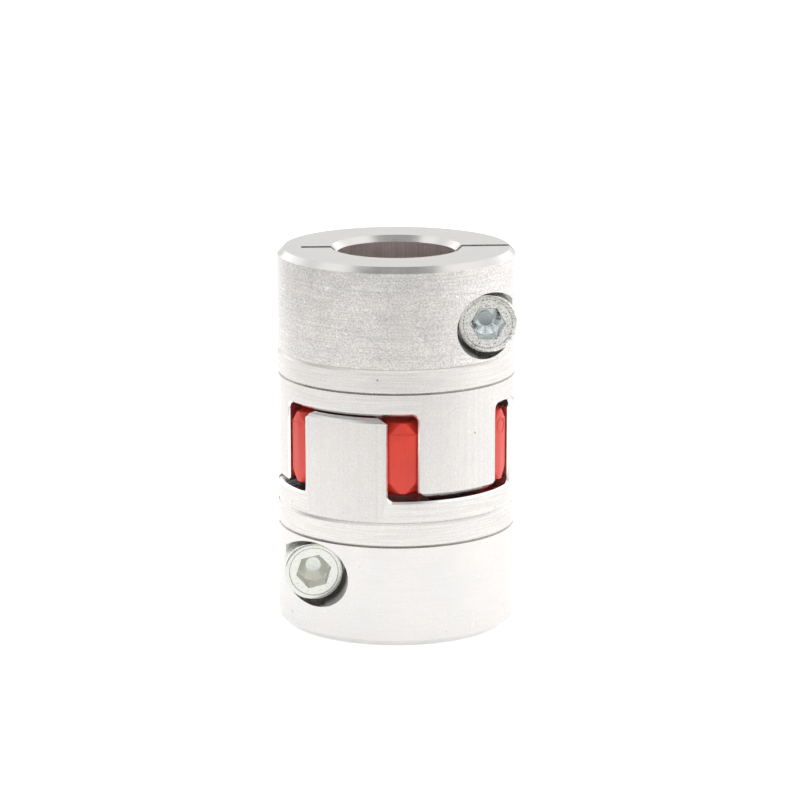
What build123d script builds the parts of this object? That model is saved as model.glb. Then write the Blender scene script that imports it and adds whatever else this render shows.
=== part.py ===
from build123d import *

import os
from math import atan2, cos, radians, sin, sqrt

os.makedirs("parts", exist_ok=True)

# A backlash-free jaw coupling with two equal clamping hubs and an elastomer spider.
# Millimetres. The coupling's axis is Z and the origin is on it, in the lower end face.
# The clamping slots lie in the plane Y = 0, and both screw heads face -Y.

# Hub body
clamp_diameter = 40.0
hub_length = 24.75
end_chamfer = 1.0
bore_diameter = 20.0
bore_mouth_chamfer = 1.0
bore_inner_chamfer = 0.5

# Raised band between the clamping length and the root of the jaws, with a sharp groove along either side
root_length = 3.5
band_length = 3.25
band_rise = 0.1
band_bevel = 0.55
groove_depth = 0.3

# Jaws
jaw_count = 3
jaw_length = 14.0
jaw_wall = 7.5
tip_gap = 0.5
tip_chamfer = 0.8
lead_in_width = 1.3
lead_in_length = 0.95
root_fillet = 1.0
edge_break = 0.35

# Windows between the jaws, which the spider's teeth fill: their flanks are arcs, widest below the outside
window_width = 4.66
flank_radius = 12.5
flank_middle_depth = 4.5

# Spider
flank_clearance = 0.05
tooth_recess = 0.5
tooth_edge = 0.4
tooth_end_gap = 1.25
corner_cut_width = 2.05
corner_cut_height = 2.4
corner_cut_depth = 2.4
ring_clearance = 0.3
ring_wall = 3.2
ring_recess = 0.5
ring_edge = 0.4

# Clamping slot, and the relief slot opposite it that lets the hub flex
slot_width = 1.5
relief_depth = 6.0

# Clamping screw: a socket head cap screw
screw_diameter = 6.0
screw_length = 16.0
screw_tip_chamfer = 0.9
head_diameter = 9.8
head_height = 6.0
head_rounding = 0.5
socket_width = 5.0
socket_depth = 3.6
socket_mouth_width = 5.9
drill_point_height = 1.1
drill_point_flat = 2.5

# The screw's seat in the hub
screw_height = 11.0
bore_to_hole_wall = 1.2
seat_depth = 6.2
head_clearance = 0.6
hole_clearance = 0.3
thread_clearance = 0.05

# How far each screw's socket is turned, where the screw came to rest when it was tightened
lower_socket_turn = 13.0
upper_socket_turn = 0.0

# Worked out from the sizes above
clamp_radius = clamp_diameter / 2
bore_radius = bore_diameter / 2
band_radius = clamp_radius + band_rise
groove_radius = clamp_radius - groove_depth
upper_groove = hub_length - root_length
band_top = upper_groove - band_bevel
band_bottom = band_top - band_length
lower_groove = band_bottom - band_bevel
tip_height = hub_length + jaw_length
jaw_inner_radius = clamp_radius - jaw_wall
coupling_length = 2 * hub_length + jaw_length + tip_gap
tooth_pitch = 360 / (2 * jaw_count)
flank_middle = clamp_radius - flank_middle_depth
flank_centre = sqrt(flank_radius**2 - flank_middle_depth**2) - window_width / 2
screw_offset = bore_radius + bore_to_hole_wall + hole_clearance + screw_diameter / 2
slot_end = bore_radius + relief_depth
outside = clamp_diameter
near_zero = 0.001


def flank_plan(radius):
    """The barrel-shaped plan of a window or a tooth: two arcs about the same two centres."""
    half_length = sqrt(radius**2 - flank_centre**2)
    with BuildSketch() as plan:
        with BuildLine():
            RadiusArc((-half_length, 0), (half_length, 0), radius)
            RadiusArc((half_length, 0), (-half_length, 0), radius)
        make_face()
    return plan.sketch


# The gap between two jaws, from the root plane up: the mating jaw's sector with a window on either side
with BuildPart() as jaw_gap:
    with BuildSketch():
        half_pitch = radians(tooth_pitch / 2)
        sector_corner = (outside * cos(half_pitch), outside * sin(half_pitch))
        Polygon((0, 0), (sector_corner[0], -sector_corner[1]), sector_corner, align=None)
        with PolarLocations(flank_middle, 2, start_angle=-tooth_pitch / 2, angular_range=2 * tooth_pitch):
            add(flank_plan(flank_radius))
    extrude(amount=jaw_length + tip_gap)
    fillet(jaw_gap.edges().filter_by(GeomType.CIRCLE).group_by(Axis.Z)[0], root_fillet)


def flank_faces(hub):
    """The jaw flanks of a hub, in order round it: its upright cylinders whose axes are off the Z axis."""

    def is_flank(face):
        centre = face.axis_of_rotation.position
        return Vector(centre.X, centre.Y).length > jaw_wall and face.center().Z > hub_length

    def direction(face):
        return atan2(face.center().Y, face.center().X)

    return hub.faces().filter_by(GeomType.CYLINDER).filter_by(is_flank).sort_by(direction)


def is_outer_jaw_edge(edge):
    """Whether an edge lies on the outside of the jaws or their root, apart from the tips."""
    points = edge.positions([0, 0.5, 1])
    on_outside = all(abs(Vector(point.X, point.Y).length - clamp_radius) < near_zero for point in points)
    return on_outside and hub_length - near_zero < edge.center().Z < tip_height - near_zero


# Turned shapes start on the side where the clamping slot opens, so that the slot takes their seams away
slot_side = Plane(origin=(0, 0, 0), x_dir=(-1, 0, 0), z_dir=(0, 1, 0))
jaw_root = Plane(origin=(0, 0, hub_length), x_dir=(-1, 0, 0), z_dir=(0, 0, 1))

# Lower hub: a turned body with jaws at 0, 120 and 240 degrees from +X, and its clamping slot open at -X
with BuildPart() as lower_hub:
    with BuildSketch(slot_side):
        with BuildLine():
            Polyline(
                (bore_radius + bore_mouth_chamfer, 0),
                (clamp_radius - end_chamfer, 0),
                (clamp_radius, end_chamfer),
                (clamp_radius, lower_groove),
                (groove_radius, lower_groove),
                (band_radius, band_bottom),
                (band_radius, band_top),
                (groove_radius, upper_groove),
                (clamp_radius, upper_groove),
                (clamp_radius, hub_length),
                (bore_radius + bore_inner_chamfer, hub_length),
                (bore_radius, hub_length - bore_inner_chamfer),
                (bore_radius, bore_mouth_chamfer),
                close=True,
            )
        make_face()
    revolve(axis=Axis.Z)

    # Jaws
    with BuildSketch(jaw_root):
        Circle(clamp_radius)
        Circle(jaw_inner_radius, mode=Mode.SUBTRACT)
    extrude(amount=jaw_length)
    with Locations((0, 0, hub_length)):
        with PolarLocations(0, jaw_count, start_angle=tooth_pitch):
            add(jaw_gap.part, mode=Mode.SUBTRACT)

    # Lead-in bevels that guide the spider's teeth past the jaw tips
    for number in range(2 * jaw_count):
        flank = flank_faces(lower_hub)[number]
        chamfer(flank.edges().group_by(Axis.Z)[-1], lead_in_length, lead_in_width, reference=flank)

    # Broken outer edges, and the turned bevel round the jaw tips
    chamfer(lower_hub.edges().filter_by(is_outer_jaw_edge), edge_break)
    with BuildSketch(slot_side):
        with BuildLine():
            Polyline(
                (clamp_radius - tip_chamfer, tip_height),
                (clamp_radius, tip_height - tip_chamfer),
                (clamp_radius + tip_chamfer, tip_height - tip_chamfer),
                (clamp_radius + tip_chamfer, tip_height),
                close=True,
            )
        make_face()
    revolve(axis=Axis.Z, mode=Mode.SUBTRACT)

    # One saw cut: the clamping slot right through at -X, and the relief slot into the wall at +X
    with BuildSketch():
        with Locations(((slot_end - outside) / 2, 0)):
            Rectangle(slot_end + outside, slot_width)
    extrude(amount=tip_height, mode=Mode.SUBTRACT)

    # Screw hole across the slot: head pocket and clearance at -Y, thread at +Y
    with BuildSketch(Plane.XZ.offset(seat_depth)):
        with Locations((-screw_offset, screw_height)):
            Circle(head_diameter / 2 + head_clearance)
    extrude(amount=outside, mode=Mode.SUBTRACT)
    with BuildSketch(Plane.XZ):
        with Locations((-screw_offset, screw_height)):
            Circle(screw_diameter / 2 + hole_clearance)
    extrude(amount=outside, mode=Mode.SUBTRACT)
    with BuildSketch(Plane.XZ):
        with Locations((-screw_offset, screw_height)):
            Circle(screw_diameter / 2 + thread_clearance)
    extrude(amount=-outside, mode=Mode.SUBTRACT)

# Upper hub: the same hub turned over about Y
with BuildPart() as upper_hub:
    with Locations((0, 0, coupling_length)):
        add(lower_hub.part, rotation=(0, 180, 0))

# One tooth of the spider, pointing along +X: a barrel-shaped block whose four outer corners are cut off
spider_half_height = (jaw_length + tip_gap) / 2 - tooth_end_gap
tooth_outer_radius = clamp_radius - tooth_recess
ring_outer_radius = jaw_inner_radius - ring_clearance
ring_half_height = spider_half_height - ring_recess
tooth_radius = flank_radius - flank_clearance
tooth_reach = tooth_outer_radius - flank_middle
tooth_face_width = 2 * (sqrt(tooth_radius**2 - tooth_reach**2) - flank_centre)
with BuildPart() as tooth:
    with BuildSketch(Plane.XY.offset(-spider_half_height)):
        with Locations((flank_middle, 0)):
            add(flank_plan(tooth_radius))
        Circle(tooth_outer_radius, mode=Mode.INTERSECT)
        Circle(ring_outer_radius - ring_wall / 2, mode=Mode.SUBTRACT)
    extrude(amount=2 * spider_half_height)
    chamfer(tooth.edges().filter_by(Axis.Z).group_by(Axis.X)[-1], tooth_edge)
    for side in (-1, 1):
        for end in (-1, 1):
            cut_edge = side * (tooth_face_width / 2 - corner_cut_width)
            cut_start = (tooth_outer_radius, cut_edge, end * spider_half_height)
            slope = (1 / corner_cut_depth, side / corner_cut_width, end / corner_cut_height)
            split(bisect_by=Plane(origin=cut_start, z_dir=slope), keep=Keep.BOTTOM)

# Spider: a ring inside the jaws with a tooth in every window
with BuildPart() as spider:
    with BuildSketch(Plane.XY.offset(coupling_length / 2 - ring_half_height)):
        Circle(ring_outer_radius)
        Circle(ring_outer_radius - ring_wall, mode=Mode.SUBTRACT)
    extrude(amount=2 * ring_half_height)
    chamfer(spider.edges().filter_by(GeomType.CIRCLE), ring_edge)
    with Locations((0, 0, coupling_length / 2)):
        with PolarLocations(0, 2 * jaw_count, start_angle=tooth_pitch / 2):
            add(tooth.part)

# Clamping screw with its axis on Z and the underside of its head in the plane Z = 0, head up
with BuildPart() as screw:
    Cylinder(screw_diameter / 2, screw_length, align=(Align.CENTER, Align.CENTER, Align.MAX))
    chamfer(screw.edges().filter_by(GeomType.CIRCLE).group_by(Axis.Z)[0], screw_tip_chamfer)
    Cylinder(head_diameter / 2, head_height, align=(Align.CENTER, Align.CENTER, Align.MIN))
    fillet(screw.edges().filter_by(GeomType.CIRCLE).group_by(Axis.Z)[-1], head_rounding)
    with BuildSketch(Plane.XY.offset(head_height)):
        RegularPolygon(socket_width / 2, 6, major_radius=False)
    extrude(amount=-socket_depth, mode=Mode.SUBTRACT)
    # The socket's drilled bottom and its countersunk mouth
    with Locations((0, 0, head_height - socket_depth)):
        Cone(
            drill_point_flat / 2,
            socket_width / 2,
            drill_point_height,
            align=(Align.CENTER, Align.CENTER, Align.MAX),
            mode=Mode.SUBTRACT,
        )
    with Locations((0, 0, head_height)):
        Cone(
            0,
            socket_mouth_width / 2,
            socket_mouth_width / 2,
            align=(Align.CENTER, Align.CENTER, Align.MAX),
            mode=Mode.SUBTRACT,
        )


def placed_screw(offset, height, turn):
    """A clamping screw seated in a hub with its head towards -Y, turned about its own axis."""
    with BuildPart() as placed:
        with Locations(Location((offset, -seat_depth, height), (90, 0, 0))):
            add(screw.part, rotation=(0, 0, turn))
    return placed.part


lower_screw = placed_screw(-screw_offset, screw_height, lower_socket_turn)
upper_screw = placed_screw(screw_offset, coupling_length - screw_height, upper_socket_turn)

lower_hub.part.label = "lower_clamp_hub"
upper_hub.part.label = "upper_clamp_hub"
spider.part.label = "elastomer_spider"
lower_screw.label = "lower_clamp_screw"
upper_screw.label = "upper_clamp_screw"

for piece in (lower_hub.part, upper_hub.part, spider.part, lower_screw, upper_screw):
    export_step(piece, f"parts/{piece.label}.step")
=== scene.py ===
from math import atan2, cos, hypot, pi, radians, sin, sqrt

import bmesh
import bpy
from mathutils import Matrix, Vector


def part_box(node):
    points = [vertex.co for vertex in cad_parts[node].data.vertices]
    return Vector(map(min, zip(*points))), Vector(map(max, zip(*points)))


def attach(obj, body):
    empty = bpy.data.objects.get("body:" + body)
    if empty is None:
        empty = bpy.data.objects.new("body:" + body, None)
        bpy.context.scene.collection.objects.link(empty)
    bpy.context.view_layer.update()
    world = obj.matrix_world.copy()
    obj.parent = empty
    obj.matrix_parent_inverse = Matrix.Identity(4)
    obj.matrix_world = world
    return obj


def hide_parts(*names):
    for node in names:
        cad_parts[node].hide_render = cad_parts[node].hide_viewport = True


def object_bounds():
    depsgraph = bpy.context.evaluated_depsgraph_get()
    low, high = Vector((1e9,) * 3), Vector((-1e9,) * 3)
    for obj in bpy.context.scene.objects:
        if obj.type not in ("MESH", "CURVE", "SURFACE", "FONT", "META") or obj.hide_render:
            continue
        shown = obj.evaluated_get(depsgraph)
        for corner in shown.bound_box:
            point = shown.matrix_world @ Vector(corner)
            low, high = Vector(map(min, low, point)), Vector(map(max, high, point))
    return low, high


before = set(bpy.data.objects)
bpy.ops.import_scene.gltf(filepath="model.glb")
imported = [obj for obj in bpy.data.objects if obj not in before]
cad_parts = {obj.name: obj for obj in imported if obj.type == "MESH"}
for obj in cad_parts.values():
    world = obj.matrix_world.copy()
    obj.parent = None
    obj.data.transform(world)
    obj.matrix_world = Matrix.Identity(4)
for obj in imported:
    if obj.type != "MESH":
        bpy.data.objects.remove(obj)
cad_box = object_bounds()

scene = bpy.context.scene
scene.view_settings.view_transform = "Standard"

# Lengths below are in millimetres, and MM turns them into Blender's metres
MM = 0.001
LOWEST, HIGHEST = (Vector(corner) / MM for corner in cad_box)
COUPLING_LENGTH = HIGHEST.z - LOWEST.z
HUB_RADIUS = 20.0
HUB_LENGTH = 24.75
BORE_RADIUS = 10.0
SLOT_HALF_WIDTH = 0.75

# Camera: its azimuth, distance and height are those of the lens about the coupling's axis
CAMERA_FOCAL_LENGTH = 156.9
CAMERA_SENSOR = 36.0
CAMERA_AZIMUTH = radians(-3.0)
CAMERA_DISTANCE = 576.0
CAMERA_HEIGHT = 168.1
CAMERA_TILT = radians(-12.771)
CAMERA_TURN = radians(0.059)
CAMERA_CLIP_START = 10.0


def add_camera():
    data = bpy.data.cameras.new("camera")
    data.lens = CAMERA_FOCAL_LENGTH
    data.sensor_width = CAMERA_SENSOR
    data.clip_start = CAMERA_CLIP_START * MM
    camera = bpy.data.objects.new("camera", data)
    scene.collection.objects.link(camera)
    direction = Vector((sin(CAMERA_AZIMUTH), -cos(CAMERA_AZIMUTH), 0))
    camera.location = MM * (CAMERA_DISTANCE * direction + Vector((0, 0, CAMERA_HEIGHT)))
    camera.rotation_euler = (radians(90) + CAMERA_TILT, 0, CAMERA_AZIMUTH - CAMERA_TURN)
    scene.camera = camera


# Blender's noise lies about this value, mostly within this reach
NOISE_MIDDLE = 0.5
NOISE_REACH = 0.2


class Tree:
    """A node tree, built up from sockets and plain values."""

    def __init__(self, owner):
        owner.use_nodes = True
        self.nodes = owner.node_tree.nodes
        self.links = owner.node_tree.links

    def put(self, socket, value):
        if isinstance(value, bpy.types.NodeSocket):
            self.links.new(value, socket)
        else:
            socket.default_value = value

    def node(self, kind, inputs, **settings):
        node = self.nodes.new(kind)
        for name, value in settings.items():
            setattr(node, name, value)
        for key, value in inputs.items():
            self.put(node.inputs[key], value)
        return node

    def math(self, operation, a, b=0.0):
        return self.node("ShaderNodeMath", {0: a, 1: b}, operation=operation).outputs[0]

    def ease(self, value, start, end, low=0.0, high=1.0):
        """low where value is at start and high where it is at end, with a smooth step between."""
        inputs = {"Value": value, "From Min": start, "From Max": end, "To Min": low, "To Max": high}
        return self.node("ShaderNodeMapRange", inputs, interpolation_type="SMOOTHSTEP").outputs["Result"]

    def spread(self, noise, low, high, reach=NOISE_REACH):
        """low where a noise is this reach under its middle, and high where it is as far over it."""
        return self.ease(noise, NOISE_MIDDLE - reach, NOISE_MIDDLE + reach, low, high)

    def blend(self, factor, a, b):
        """A mix of two numbers."""
        inputs = {"Factor": factor, "A": a, "B": b}
        return self.node("ShaderNodeMix", inputs, data_type="FLOAT").outputs["Result"]

    def colour(self, factor, a, b, blend_type="MIX"):
        """A mix of two colours."""
        inputs = {0: factor, 6: a, 7: b}
        return self.node("ShaderNodeMix", inputs, data_type="RGBA", blend_type=blend_type).outputs[2]

    def shaded(self, colour, *shades):
        """A colour multiplied by shades of grey."""
        shade = shades[0]
        for factor in shades[1:]:
            shade = self.math("MULTIPLY", shade, factor)
        return self.colour(1.0, colour, self.join(shade, shade, shade), "MULTIPLY")

    def split(self, vector):
        return self.node("ShaderNodeSeparateXYZ", {0: vector}).outputs

    def join(self, x, y, z):
        return self.node("ShaderNodeCombineXYZ", {0: x, 1: y, 2: z}).outputs[0]

    def noise(self, vector, scale, detail, roughness=0.5):
        inputs = {"Vector": vector, "Scale": scale, "Detail": detail, "Roughness": roughness}
        return self.node("ShaderNodeTexNoise", inputs).outputs[0]

    def surface(self, colour, roughness, height, bump_height):
        """The shader with this colour, roughness and bump, whose height is in millimetres."""
        inputs = {"Strength": 1.0, "Distance": bump_height * MM, "Height": height}
        bump = self.node("ShaderNodeBump", inputs)
        shader = self.nodes["Principled BSDF"]
        self.put(shader.inputs["Base Color"], colour)
        self.put(shader.inputs["Roughness"], roughness)
        self.put(shader.inputs["Normal"], bump.outputs[0])
        return shader

    def object_position(self):
        """The object's own coordinates in millimetres, which ride with its body."""
        position = self.node("ShaderNodeTexCoord", {}).outputs["Object"]
        scaled = self.node("ShaderNodeVectorMath", {0: position, "Scale": 1 / MM}, operation="SCALE")
        return scaled.outputs[0]


def grey(value):
    return (value, value, value, 1)


# Aluminium: scales are per millimetre, and sizes of cells are shares of them
GROOVE_SCALE = 5.0
GROOVE_ALONG_SCALE = 0.12
GRAIN_SCALE = 3.8
CLOUD_SCALE = 0.35
TONE_REACH = 0.15
COOL_TINT = (0.98, 0.988, 1.0)
SPECK_SCALE = 0.22
SPECK_SIZE = 0.028
SPECK_SHADE = 0.5
SCRATCH_SCALE = 0.3
SCRATCH_WIDTH = 0.025
SCRATCHED_FROM = 0.61
SCRATCHED_FULLY = 0.67
SCRATCH_SHINE = 0.25
SCRATCH_ROUGHNESS = 0.15
SCRATCH_DEPTH = 0.3
ROUGHNESS_SPREAD = 0.05
BUMP_HEIGHT = 0.004
TINTED = 0.12


def across_turning(tree, position):
    return tree.split(position)[2]


def across_facing(tree, position):
    x, y, z = tree.split(position)
    return tree.math("SQRT", tree.math("ADD", tree.math("MULTIPLY", x, x), tree.math("MULTIPLY", y, y)))


def across_milling(tree, position):
    x, y, z = tree.split(position)
    return tree.math("MULTIPLY", tree.math("ARCTAN2", y, x), HUB_RADIUS)


def across_sawing(tree, position):
    return tree.split(position)[0]


def across_drilling(tree, position):
    return tree.split(position)[1]


def aluminium(name, across, colour, roughness, grooves, grain, patches, wear=0.4, anisotropy=0.0):
    """Cut aluminium with tool marks, grain, cloudy patches, dark specks and fine scratches."""
    material = bpy.data.materials.new(name)
    tree = Tree(material)
    position = tree.object_position()
    x, y, z = tree.split(position)
    marks_at = tree.join(
        tree.math("MULTIPLY", x, GROOVE_ALONG_SCALE),
        tree.math("MULTIPLY", y, GROOVE_ALONG_SCALE),
        tree.math("MULTIPLY", across(tree, position), GROOVE_SCALE),
    )
    marks = tree.noise(marks_at, 1.0, 3.0, 0.6)
    fine = tree.noise(position, GRAIN_SCALE, 3.0, 0.65)
    cloud = tree.noise(position, CLOUD_SCALE, 4.0, 0.6)
    tone = tree.noise(position, CLOUD_SCALE / 2, 1.0)

    # Specks: the middles of scattered cells
    cells = tree.node("ShaderNodeTexVoronoi", {"Vector": position, "Scale": SPECK_SCALE})
    speck = tree.ease(cells.outputs["Distance"], SPECK_SIZE, 2 * SPECK_SIZE, 1.0, 0.0)
    # Scratches: thin level lines of a noise, in a few places only
    lines = tree.noise(position, SCRATCH_SCALE, 1.0)
    from_line = tree.math("ABSOLUTE", tree.math("SUBTRACT", lines, NOISE_MIDDLE))
    on_line = tree.ease(from_line, SCRATCH_WIDTH / 2, SCRATCH_WIDTH, 1.0, 0.0)
    places = tree.noise(position, 2 * SCRATCH_SCALE, 2.0)
    scratched = tree.ease(places, SCRATCHED_FROM, SCRATCHED_FULLY)
    scratch = tree.math("MULTIPLY", tree.math("MULTIPLY", on_line, scratched), wear)

    cool = [part * tint for part, tint in zip(colour, COOL_TINT)]
    base = tree.colour(tree.spread(tone, 0.0, 1.0, TONE_REACH), (*cool, 1), (*colour, 1))
    shade = tree.spread(cloud, 1.0 - patches, 1.0 + patches)
    shade = tree.math("MULTIPLY", shade, tree.spread(fine, 1.0 - TINTED * grain, 1.0 + TINTED * grain))
    shade = tree.math("MULTIPLY", shade, tree.spread(marks, 1.0 - TINTED * grooves, 1.0 + TINTED * grooves))
    shade = tree.math("MULTIPLY", shade, tree.blend(speck, 1.0, SPECK_SHADE))
    shade = tree.math("ADD", shade, tree.math("MULTIPLY", scratch, SCRATCH_SHINE))

    rough = tree.spread(cloud, roughness - ROUGHNESS_SPREAD, roughness + ROUGHNESS_SPREAD)
    rough = tree.math("ADD", rough, tree.math("MULTIPLY", scratch, SCRATCH_ROUGHNESS))

    height = tree.math("MULTIPLY", marks, grooves)
    height = tree.math("ADD", height, tree.math("MULTIPLY", fine, grain))
    height = tree.math("SUBTRACT", height, tree.math("MULTIPLY", scratch, SCRATCH_DEPTH))
    height = tree.math("SUBTRACT", height, speck)

    shader = tree.surface(tree.shaded(base, shade), rough, height, BUMP_HEIGHT)
    shader.inputs["Metallic"].default_value = 1.0
    shader.inputs["Anisotropic"].default_value = anisotropy
    if anisotropy:
        tangent = tree.node("ShaderNodeTangent", {}, direction_type="RADIAL", axis="Z")
        tree.put(shader.inputs["Tangent"], tangent.outputs[0])
    return material


def hub_materials():
    """The aluminium finishes of the hubs, by how each surface was cut, with the edge breaks painted
    near-white as a highlight.

    Each row gives a name, the direction across the marks, the colour and the roughness, then the strengths
    of grooves, grain and patches, then the wear and the anisotropy where they differ from the usual.
    """
    rows = {
        "grainy_clamp": ("grainy", across_turning, (0.71, 0.692, 0.675), 0.32, 0.7, 1.9, 0.05, 1.0, 0.3),
        "clean_clamp": ("clean", across_turning, (0.75, 0.735, 0.72), 0.30, 0.12, 0.1, 0.012, 0.1, 0.3),
        "turned": ("turned", across_turning, (0.72, 0.702, 0.685), 0.30, 0.6, 0.5, 0.025, 0.3, 0.3),
        "smooth": ("finish_turned", across_facing, (0.70, 0.69, 0.68), 0.20, 0.08, 0.08, 0.02, 0.2),
        # Edge breaks: near-white colour, a painted highlight
        "edge": ("deburred", across_turning, (0.95, 0.945, 0.94), 0.18, 0.1, 0.1, 0.01),
        "jaw": ("jaw", across_milling, (0.71, 0.69, 0.673), 0.32, 0.3, 0.6, 0.025),
        "bored": ("bored", across_milling, (0.92, 0.86, 0.84), 0.38, 1.2, 0.1, 0.05, 0.2, 0.7),
        "milled": ("milled", across_milling, (0.72, 0.70, 0.69), 0.35, 0.6, 0.4, 0.05),
        "sawn": ("sawn", across_sawing, (0.6, 0.58, 0.57), 0.4, 1.0, 0.4, 0.05),
        "drilled": ("drilled", across_drilling, (0.66, 0.65, 0.64), 0.35, 0.9, 0.6, 0.05),
    }
    return {kind: aluminium(f"{name}_aluminium", *values) for kind, (name, *values) in rows.items()}


# How a hub's faces are told apart: by where they are, and by how far their normals lean
FLAT = 0.95
LEANS_TO_END = 0.5
ALONG_SCREW_WALL = 0.1
FACES_SCREW = 0.9
LEAST_OUTWARD = 0.6
BEVEL_LEAST_OUTWARD = 0.55
BEVEL_MOST_OUTWARD = 0.85
OUTSIDE = HUB_RADIUS - 1.5
SLOT_REACH = 1.1 * SLOT_HALF_WIDTH
BORE_REACH = BORE_RADIUS + 1.2
END_CHAMFER = 1.0
CLAMP_LENGTH = 16.8
EDGE_BREAK = 0.35
TIP_BEVEL_START = 37.9
POCKET_RADIUS = 5.8


def is_drilled(centre, normal, beside_screw):
    """Whether a face beside the screw's axis is a floor or a wall of the screw's pocket."""
    from_screw = hypot(*beside_screw)
    towards_screw = abs(beside_screw[0] * normal.x + beside_screw[1] * normal.z)
    is_floor = abs(normal.y) > FLAT and hypot(centre.x, centre.y) < OUTSIDE
    is_wall = towards_screw > FACES_SCREW * from_screw and abs(normal.y) < ALONG_SCREW_WALL
    return from_screw < POCKET_RADIUS and (is_floor or is_wall)


def cut_by(centre, normal, height, screw_axis):
    """Which tool cut the face at a point of a hub that is at this height above the hub's end face."""
    radius = hypot(centre.x, centre.y)
    outward = (centre.x * normal.x + centre.y * normal.y) / radius
    is_bevel = BEVEL_LEAST_OUTWARD < outward < BEVEL_MOST_OUTWARD
    beside_screw = (centre.x - screw_axis[0], centre.z - screw_axis[1])
    if abs(centre.y) < SLOT_REACH and abs(normal.y) > FLAT:
        return "sawn"
    if abs(normal.z) > FLAT or height < END_CHAMFER and abs(normal.z) > LEANS_TO_END:
        return "smooth"
    if height < CLAMP_LENGTH and is_drilled(centre, normal, beside_screw):
        return "drilled"
    if height > TIP_BEVEL_START and is_bevel:
        return "smooth"
    if radius > OUTSIDE and height < HUB_LENGTH - EDGE_BREAK:
        return "clamp" if height < CLAMP_LENGTH else "turned"
    # Edge breaks, which are painted near-white as a highlight
    if radius > HUB_RADIUS - EDGE_BREAK and is_bevel:
        return "edge"
    if radius > OUTSIDE and outward > LEAST_OUTWARD:
        return "jaw"
    if radius < BORE_REACH and height < HUB_LENGTH:
        return "bored"
    return "milled"


def finish_hub(name, screw_name, end_height, upwards, clamp_finish, materials):
    """Gives each face of a hub the finish of the tool that cut it."""
    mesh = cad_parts[name].data
    low, high = (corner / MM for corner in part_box(screw_name))
    screw_axis = ((low.x + high.x) / 2, (low.z + high.z) / 2)
    mesh.materials.clear()
    kinds = list(materials)
    for kind in kinds:
        mesh.materials.append(materials[kind])
    for face in mesh.polygons:
        centre = face.center / MM
        kind = cut_by(centre, face.normal, upwards * (centre.z - end_height), screw_axis)
        face.material_index = kinds.index(clamp_finish if kind == "clamp" else kind)


# Polyurethane
PALE_RED = (0.80, 0.055, 0.03, 1)
DEEP_RED = (0.72, 0.045, 0.025, 1)
FLOW_SCALE = 0.25
MOULD_GRAIN_SCALE = 6.0
MOULD_GRAIN_HEIGHT = 0.5
MOULDED_ROUGHNESS = (0.32, 0.42)
MOULDED_BUMP_HEIGHT = 0.004
RED_SCATTER_WEIGHT = 0.15
RED_SCATTER_DEPTH = 1.0
RED_SCATTER_SPREAD = (1.0, 0.2, 0.1)


def polyurethane():
    """Glossy moulded polyurethane with faint flow marks and a fine moulded grain."""
    material = bpy.data.materials.new("red_polyurethane")
    tree = Tree(material)
    position = tree.object_position()
    flow = tree.noise(position, FLOW_SCALE, 3.0)
    grain = tree.noise(position, MOULD_GRAIN_SCALE, 2.0, 0.6)
    base = tree.colour(tree.spread(flow, 0.0, 1.0), DEEP_RED, PALE_RED)
    height = tree.math("ADD", tree.math("MULTIPLY", grain, MOULD_GRAIN_HEIGHT), flow)
    shader = tree.surface(base, tree.spread(flow, *MOULDED_ROUGHNESS), height, MOULDED_BUMP_HEIGHT)
    shader.inputs["Subsurface Weight"].default_value = RED_SCATTER_WEIGHT
    shader.inputs["Subsurface Radius"].default_value = RED_SCATTER_SPREAD
    shader.inputs["Subsurface Scale"].default_value = RED_SCATTER_DEPTH * MM
    return material


# Zinc plating
ZINC_CLOUD_SCALE = 0.9
ZINC_GRAIN_SCALE = 3.6
ZINC_GRAIN_REACH = 0.15
PIT_SCALE = 2.4
PITTED_FROM = 0.60
PITTED_FULLY = 0.66
WARM_TINT = (1.03, 1.0, 0.95)
ZINC_SMOOTHER = 0.05
ZINC_ROUGHER = 0.08
ZINC_BUMP_HEIGHT = 0.028


def zinc(name, colour, roughness, mottling):
    """Zinc-plated steel: a cloudy, mottled plating with small pits."""
    material = bpy.data.materials.new(name)
    tree = Tree(material)
    position = tree.object_position()
    cloud = tree.noise(position, ZINC_CLOUD_SCALE, 3.0, 0.6)
    grain = tree.noise(position, ZINC_GRAIN_SCALE, 3.0, 0.7)
    pits = tree.ease(tree.noise(position, PIT_SCALE, 2.0, 0.6), PITTED_FROM, PITTED_FULLY)
    warm = [part * tint for part, tint in zip(colour, WARM_TINT)]
    base = tree.colour(tree.spread(cloud, 0.0, 1.0, TONE_REACH), (*colour, 1), (*warm, 1))
    mottled = tree.spread(grain, 1.0 - mottling, 1.0 + mottling, ZINC_GRAIN_REACH)
    pitted = tree.blend(pits, 1.0, 1.0 - 2 * mottling)
    rough = tree.spread(grain, roughness - ZINC_SMOOTHER, roughness + ZINC_ROUGHER)
    height = tree.math("MULTIPLY", tree.math("SUBTRACT", grain, pits), mottling)
    shader = tree.surface(tree.shaded(base, mottled, pitted), rough, height, ZINC_BUMP_HEIGHT)
    shader.inputs["Metallic"].default_value = 1.0
    return material


def add_piece(name, mesh, body, slot, *nodes):
    """A piece of the object that rides on a CAD body and stands for its CAD nodes."""
    piece = bpy.data.objects.new(name, mesh)
    scene.collection.objects.link(piece)
    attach(piece, body)
    if nodes:
        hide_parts(*nodes)


# Meshes of revolution
SHARP_ANGLE = radians(28)


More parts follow.
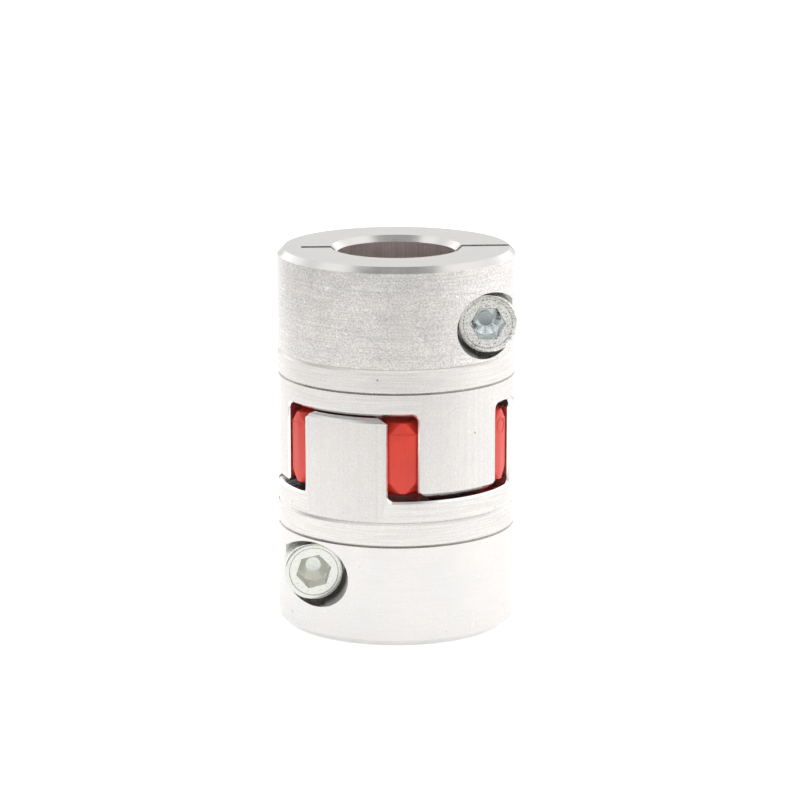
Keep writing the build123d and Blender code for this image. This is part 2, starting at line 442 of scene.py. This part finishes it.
def lathe(rings, columns):
    """A mesh from rings about Z. Each gives a radius and height at an angle, and a radius of 0 is a pole."""
    points = []
    rows = []
    for ring in rings:
        around = [ring(2 * pi * column / columns) for column in range(columns)]
        if all(radius == 0 for radius, height in around):
            rows.append([len(points)] * columns)
            points.append((0, 0, around[0][1]))
        else:
            rows.append(list(range(len(points), len(points) + columns)))
            for column, (radius, height) in enumerate(around):
                angle = 2 * pi * column / columns
                points.append((radius * cos(angle), radius * sin(angle), height))
    faces = []
    for lower, upper in zip(rows, rows[1:]):
        for column in range(columns):
            after = (column + 1) % columns
            corners = [lower[column], lower[after], upper[after], upper[column]]
            faces.append(list(dict.fromkeys(corners)))
    mesh = bpy.data.meshes.new("lathe")
    mesh.from_pydata(points, [], [face for face in faces if len(face) > 2])
    return mesh


def finish_mesh(mesh, place, *materials):
    """Puts a mesh made in millimetres in its place, and smooths it up to its sharp edges."""
    mesh.transform(Matrix.Scale(MM, 4) @ place)
    mesh.shade_smooth()
    mesh.set_sharp_from_angle(angle=SHARP_ANGLE)
    for material in materials:
        mesh.materials.append(material)


def level(radius, height):
    """A ring that is a circle."""
    return lambda angle: (radius, height)


# Clamping screws. Heights are from the underside of the head, and turns are those of the sockets.
LOWER_SOCKET_TURN = radians(13)
UPPER_SOCKET_TURN = radians(0)
HEAD_HEIGHT = 6.0
HEAD_ROUNDING = 0.35
HEAD_ROUNDING_STEPS = 5
HEAD_LOWER_EDGE = 0.2
KNURL_COUNT = 54
KNURL_DEPTH = 0.12
KNURL_COLUMNS = 4
KNURL_BOTTOM = 0.5
KNURL_TOP = 4.2
KNURL_FADE = 0.2
SOCKET_WIDTH = 5.0
SOCKET_DEPTH = 3.6
SOCKET_BREAK = 0.12
DRILL_MOUTH = 0.995 * SOCKET_WIDTH / 2
DRILL_POINT_DEPTH = 1.1
DRILL_POINT_FLAT = 1.25
DRILL_TIP_DEPTH = 0.15
DISH_DEPTH = 0.04
RIM_WIDTH = 0.75
RIM_GROOVE = 0.16
THREAD_PITCH = 1.0
THREAD_RADIUS = 2.98
THREAD_DEPTH = 0.55
THREAD_FLANK = 1.2
THREAD_STEP = 0.1
TIP_CHAMFER = 0.9


def hexagon(angle):
    """The distance from the axis to the socket's wall."""
    from_flat = angle % (pi / 3) - pi / 6
    return SOCKET_WIDTH / 2 / cos(from_flat)


def knurled(radius, height):
    """A ring with the teeth of the knurl."""

    def ring(angle):
        phase = angle * KNURL_COUNT / (2 * pi) % 1
        return radius - KNURL_DEPTH * abs(2 * phase - 1), height

    return ring


def threaded(height, radius=THREAD_RADIUS):
    """A ring cut through a thread at this height."""

    def ring(angle):
        phase = (height / THREAD_PITCH - angle / (2 * pi)) % 1
        depth = THREAD_DEPTH * min(1, THREAD_FLANK * abs(2 * phase - 1))
        return radius - depth, height

    return ring


def shank_rings(length):
    """The threaded shank, from its tip up to the head."""
    rings = [level(0, -length), level(THREAD_RADIUS - TIP_CHAMFER, -length)]
    steps = round((length - TIP_CHAMFER - THREAD_PITCH) / THREAD_STEP)
    for step in range(steps + 1):
        rings.append(threaded(-length + TIP_CHAMFER + step * THREAD_STEP))
    rings.append(level(THREAD_RADIUS, -THREAD_PITCH / 2))
    rings.append(level(THREAD_RADIUS, 0))
    return rings


def head_rings(radius):
    """The head, from its underside up to the groove inside its rim."""
    knurl_root = radius - KNURL_DEPTH
    rings = [
        level(knurl_root - HEAD_LOWER_EDGE, 0),
        level(knurl_root, HEAD_LOWER_EDGE),
        knurled(radius, KNURL_BOTTOM),
        knurled(radius, KNURL_TOP),
        level(radius, KNURL_TOP + KNURL_FADE),
    ]
    for step in range(HEAD_ROUNDING_STEPS + 1):
        turn = pi / 2 * step / HEAD_ROUNDING_STEPS
        inwards = HEAD_ROUNDING * (1 - cos(turn))
        rings.append(level(radius - inwards, HEAD_HEIGHT - HEAD_ROUNDING * (1 - sin(turn))))
    rim = radius - RIM_WIDTH
    rings.append(level(rim, HEAD_HEIGHT))
    rings.append(level(rim - RIM_GROOVE / 2, HEAD_HEIGHT - RIM_GROOVE))
    rings.append(level(rim - RIM_GROOVE, HEAD_HEIGHT - DISH_DEPTH))
    return rings


def socket_rings():
    """The hexagon socket, from its mouth down to the drilled bottom."""
    mouth = HEAD_HEIGHT - DISH_DEPTH
    bottom = HEAD_HEIGHT - SOCKET_DEPTH
    return [
        lambda angle: (hexagon(angle) + SOCKET_BREAK, mouth),
        lambda angle: (hexagon(angle), mouth - SOCKET_BREAK),
        lambda angle: (hexagon(angle), bottom),
        level(DRILL_MOUTH, bottom),
        level(DRILL_POINT_FLAT, bottom - DRILL_POINT_DEPTH),
        level(0, bottom - DRILL_POINT_DEPTH - DRILL_TIP_DEPTH),
    ]


def screw_seat(node):
    """The point on a CAD screw's axis under its head, its head's radius and its shank's length."""
    low, high = (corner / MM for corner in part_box(node))
    seat = Vector(((low.x + high.x) / 2, low.y + HEAD_HEIGHT, (low.z + high.z) / 2))
    return seat, (high.x - low.x) / 2, high.y - seat.y


def painted_light_zone_at(point):
    """The zinc at a point of a screw about Z: 0 outside, 1 in the socket, painted lighter, 2 on the drilled
    bottom, painted shade.
    """
    socket_reach = hexagon(atan2(point.y, point.x)) + SOCKET_BREAK / 4
    if point.z < 0 or point.xy.length > socket_reach:
        return 0
    return 1 if point.z > HEAD_HEIGHT - SOCKET_DEPTH - DRILL_POINT_DEPTH else 2


def finish_screw(body, turn, *zincs_with_painted_light):
    """A screw with a knurled head, a rolled thread and a drilled socket, in the place of its CAD screw."""
    node = body.replace("_screw", "_clamp_screw")
    seat, head_radius, length = screw_seat(node)
    rings = shank_rings(length) + head_rings(head_radius) + socket_rings()
    mesh = lathe(rings, KNURL_COUNT * KNURL_COLUMNS)
    # The socket walls take zinc painted lighter as a reflection, and the drilled bottom zinc painted darker
    # as shade
    painted_light_zones = [painted_light_zone_at(face.center) for face in mesh.polygons]
    facing_front = Matrix.Rotation(pi / 2, 4, "X") @ Matrix.Rotation(turn, 4, "Z")
    finish_mesh(mesh, Matrix.Translation(seat) @ facing_front, *zincs_with_painted_light)
    for face, index in zip(mesh.polygons, painted_light_zones):
        face.material_index = index
    add_piece(f"{body}_detailed", mesh, body, "screw", node)


# Tapped holes: the thread that shows behind each screw's tip
TAPPED_RADIUS = 3.05
TAPPED_START = 0.3
TAPPED_RECESS = 0.05
TAPPED_COLUMNS = 64


def add_tapped_thread(hub, material):
    """The thread in a hub's tapped hole, from the screw's tip out to the hub's side."""
    seat, head_radius, length = screw_seat(f"{hub.replace('_hub', '')}_clamp_screw")
    start = length + TAPPED_START
    steps = round((HUB_RADIUS - seat.y - start) / THREAD_STEP)
    inner = [threaded(start + step * THREAD_STEP, TAPPED_RADIUS) for step in range(steps + 1)]
    wall = [level(TAPPED_RADIUS, start + step * THREAD_STEP) for step in reversed(range(steps + 1))]
    mesh = lathe(inner + wall + inner[:1], TAPPED_COLUMNS)
    place = Matrix.Translation(seat) @ Matrix.Rotation(-pi / 2, 4, "X")
    mesh.transform(place)
    limit = HUB_RADIUS - TAPPED_RECESS
    for vertex in mesh.vertices:
        vertex.co.y = min(vertex.co.y, sqrt(limit**2 - vertex.co.x**2))
    finish_mesh(mesh, Matrix.Identity(4), material)
    add_piece(f"{hub}_tapped_thread", mesh, hub, "hub")


# Spider
WELD_DISTANCE = 0.002
COPLANAR_ANGLE = radians(0.6)
SPIDER_EDGE = 0.18
SPIDER_EDGE_STEPS = 3
MOULDED_EDGE_ANGLE = radians(22)
TOOTH_RADIUS = 19.5
TOOTH_COUNT = 6
TOOTH_HALF_FACE = 2.3
PARTING_HEIGHT = 4.05
PARTING_RISE = 0.09
PARTING_HALF_WIDTH = 0.09
PARTING_SUNK = 0.02
PARTING_STEPS = 8
MARK_RADIUS = 1.3
MARK_STEPS = 40
MARK_HEIGHT = 3.2
MARK_TOOTH = 5


def finish_spider(material):
    """The CAD spider with its moulded edges rounded."""
    shape = bmesh.new()
    shape.from_mesh(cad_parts["elastomer_spider"].data)
    bmesh.ops.remove_doubles(shape, verts=shape.verts, dist=WELD_DISTANCE * MM)
    bmesh.ops.dissolve_limit(shape, angle_limit=COPLANAR_ANGLE, verts=shape.verts, edges=shape.edges)
    folds = [edge for edge in shape.edges if edge.is_manifold]
    sharp = [edge for edge in folds if edge.calc_face_angle() > MOULDED_EDGE_ANGLE]
    bmesh.ops.bevel(
        shape,
        geom=sharp,
        offset=SPIDER_EDGE * MM,
        offset_type="OFFSET",
        segments=SPIDER_EDGE_STEPS,
        profile=0.5,
        affect="EDGES",
        clamp_overlap=True,
    )
    bmesh.ops.triangulate(shape, faces=shape.faces)
    mesh = bpy.data.meshes.new("elastomer_spider")
    shape.to_mesh(mesh)
    shape.free()
    mesh.shade_smooth()
    mesh.materials.append(material)
    add_piece("spider_moulding", mesh, "spider", "spider", "elastomer_spider")


def raised_line(path, closed):
    """Points and faces of a thin three-sided ridge on the teeth's outside, along (angle, height) points."""
    points = []
    for index, (angle, height) in enumerate(path):
        before = path[index - 1] if index or closed else path[index]
        after = path[(index + 1) % len(path)] if index + 1 < len(path) or closed else path[index]
        along = Vector(((after[0] - before[0]) * TOOTH_RADIUS, after[1] - before[1])).normalized()
        for across, rise in ((-1, -PARTING_SUNK), (0, PARTING_RISE), (1, -PARTING_SUNK)):
            shift = across * PARTING_HALF_WIDTH
            turned = angle - shift * along.y / TOOTH_RADIUS
            radius = TOOTH_RADIUS + rise
            points.append((radius * cos(turned), radius * sin(turned), height + shift * along.x))
    faces = []
    for index in range(len(path) if closed else len(path) - 1):
        after = (index + 1) % len(path)
        for corner in range(3):
            beside = (corner + 1) % 3
            faces.append((3 * index + corner, 3 * after + corner, 3 * after + beside, 3 * index + beside))
    if not closed:
        faces += [(0, 1, 2), (3 * len(path) - 1, 3 * len(path) - 2, 3 * len(path) - 3)]
    return points, faces


def tooth_centre(tooth):
    return 2 * pi * (tooth + 0.5) / TOOTH_COUNT


def parting_line(tooth, height):
    """The path of the parting line across a tooth."""
    path = []
    for step in range(PARTING_STEPS + 1):
        across = TOOTH_HALF_FACE * (2 * step / PARTING_STEPS - 1)
        path.append((tooth_centre(tooth) + across / TOOTH_RADIUS, height))
    return path


def ejector_mark(tooth, height):
    """The path around the round mark of an ejector pin."""
    path = []
    for step in range(MARK_STEPS):
        turn = 2 * pi * step / MARK_STEPS
        angle = tooth_centre(tooth) + MARK_RADIUS * cos(turn) / TOOTH_RADIUS
        path.append((angle, height + MARK_RADIUS * sin(turn)))
    return path


def add_moulding_marks(material):
    """The parting line across each tooth, and an ejector pin's mark on one of them."""
    middle = COUPLING_LENGTH / 2
    lines = [(parting_line(tooth, middle + PARTING_HEIGHT), False) for tooth in range(TOOTH_COUNT)]
    lines.append((ejector_mark(MARK_TOOTH, middle + MARK_HEIGHT), True))
    points = []
    faces = []
    for path, closed in lines:
        line_points, line_faces = raised_line(path, closed)
        faces += [tuple(corner + len(points) for corner in face) for face in line_faces]
        points += line_points
    mesh = bpy.data.meshes.new("moulding_marks")
    mesh.from_pydata(points, [], faces)
    finish_mesh(mesh, Matrix.Identity(4), material)
    add_piece("spider_moulding_marks", mesh, "spider", "spider")


# Studio: a pale table that glows with painted light, which fades towards the camera and to the left
FLOOR_HALF_SIZE = 4.0
FLOOR_COLOUR = 0.85
FLOOR_ROUGHNESS = 0.8
FLOOR_SPECULAR = 0.1
FLOOR_PAINTED_GLOW = 0.57
GLOW_FRONT = (-380.0, -30.0)
GLOW_LEFT = (-330.0, -130.0)


def add_floor():
    size = FLOOR_HALF_SIZE
    corners = [(-size, -size, 0), (size, -size, 0), (size, size, 0), (-size, size, 0)]
    mesh = bpy.data.meshes.new("floor")
    mesh.from_pydata(corners, [], [(0, 1, 2, 3)])
    material = bpy.data.materials.new("pale_table")
    tree = Tree(material)
    x, y, z = tree.split(tree.object_position())
    # Painted light: the table glows fully around and behind the coupling, less towards the camera and the
    # left
    glow = tree.math("MULTIPLY", tree.ease(y, *GLOW_FRONT, 0.0, FLOOR_PAINTED_GLOW), tree.ease(x, *GLOW_LEFT))
    shader = tree.nodes["Principled BSDF"]
    shader.inputs["Base Color"].default_value = grey(FLOOR_COLOUR)
    shader.inputs["Roughness"].default_value = FLOOR_ROUGHNESS
    shader.inputs["Specular IOR Level"].default_value = FLOOR_SPECULAR
    shader.inputs["Emission Color"].default_value = grey(1.0)
    tree.put(shader.inputs["Emission Strength"], glow)
    mesh.materials.append(material)
    floor = bpy.data.objects.new("floor", mesh)
    scene.collection.objects.link(floor)


# The surround's brightness by direction, and where one part of it passes into the next
FRONT_LIGHT = 0.44
LEFT_LIGHT = 0.5
RIGHT_LIGHT = 1.15
CORNER_LIGHT = 1.5
HIGH_CORNER_LIGHT = 1.15
BACK_LIGHT = 0.88
CEILING_LIGHT = 1.2
TOP_LIGHT = 0.42
LEFT_TO_RIGHT = (-0.3, 0.3)
FRONT_TO_SIDE = (-0.95, -0.25)
CORNER_START_LEFT = 0.2
CORNER_START_RIGHT = 0.0
CORNER_FADE = 0.4
CORNER_TO_HIGH = (0.35, 0.6)
CORNER_TO_BACK = (0.86, 0.95)
SIDES_TO_CEILING = (0.62, 0.78)
CEILING_TO_TOP = (0.88, 0.955)
LIGHT_COLOUR = (1.0, 0.99, 0.975, 1)


def add_world():
    """A soft surround: dark behind the camera and overhead, and brightest in the far corners."""
    world = bpy.data.worlds.new("studio")
    scene.world = world
    tree = Tree(world)
    x, y, z = tree.split(tree.node("ShaderNodeTexCoord", {}).outputs["Generated"])
    side = tree.ease(x, *LEFT_TO_RIGHT, LEFT_LIGHT, RIGHT_LIGHT)
    corner = tree.ease(z, *CORNER_TO_HIGH, CORNER_LIGHT, HIGH_CORNER_LIGHT)
    corner_start = tree.ease(x, *LEFT_TO_RIGHT, CORNER_START_LEFT, CORNER_START_RIGHT)
    corner_end = tree.math("ADD", corner_start, CORNER_FADE)
    light = tree.blend(tree.ease(y, *FRONT_TO_SIDE), FRONT_LIGHT, side)
    light = tree.blend(tree.ease(y, corner_start, corner_end), light, corner)
    light = tree.blend(tree.ease(y, *CORNER_TO_BACK), light, BACK_LIGHT)
    light = tree.blend(tree.ease(z, *SIDES_TO_CEILING), light, CEILING_LIGHT)
    light = tree.blend(tree.ease(z, *CEILING_TO_TOP), light, TOP_LIGHT)
    tree.put(tree.nodes["Background"].inputs["Strength"], light)
    tree.nodes["Background"].inputs["Color"].default_value = LIGHT_COLOUR


add_camera()
add_floor()
add_world()
hub_finishes = hub_materials()
finish_hub("lower_clamp_hub", "lower_clamp_screw", 0, 1, "clean_clamp", hub_finishes)
finish_hub("upper_clamp_hub", "upper_clamp_screw", COUPLING_LENGTH, -1, "grainy_clamp", hub_finishes)
add_tapped_thread("lower_hub", hub_finishes["drilled"])
add_tapped_thread("upper_hub", hub_finishes["drilled"])
finish_screw(
    "lower_screw",
    LOWER_SOCKET_TURN,
    zinc("bright_zinc", (0.70, 0.725, 0.70), 0.22, 0.07),
    # Socket walls: near-white zinc, a painted reflection
    zinc("greenish_zinc", (0.97, 0.99, 0.96), 0.35, 0.03),
    # Drilled bottom: zinc darker than the socket's, painted shade
    zinc("painted_shade_greenish_zinc", (0.74, 0.78, 0.75), 0.3, 0.05),
)
finish_screw(
    "upper_screw",
    UPPER_SOCKET_TURN,
    zinc("speckled_zinc", (0.72, 0.73, 0.725), 0.24, 0.26),
    # Socket walls: near-white zinc, a painted reflection
    zinc("bluish_zinc", (0.92, 0.97, 1.0), 0.12, 0.03),
    # Drilled bottom: dark zinc, painted shade
    zinc("painted_shade_bluish_zinc", (0.38, 0.43, 0.45), 0.3, 0.05),
)
red_polyurethane = polyurethane()
finish_spider(red_polyurethane)
add_moulding_marks(red_polyurethane)
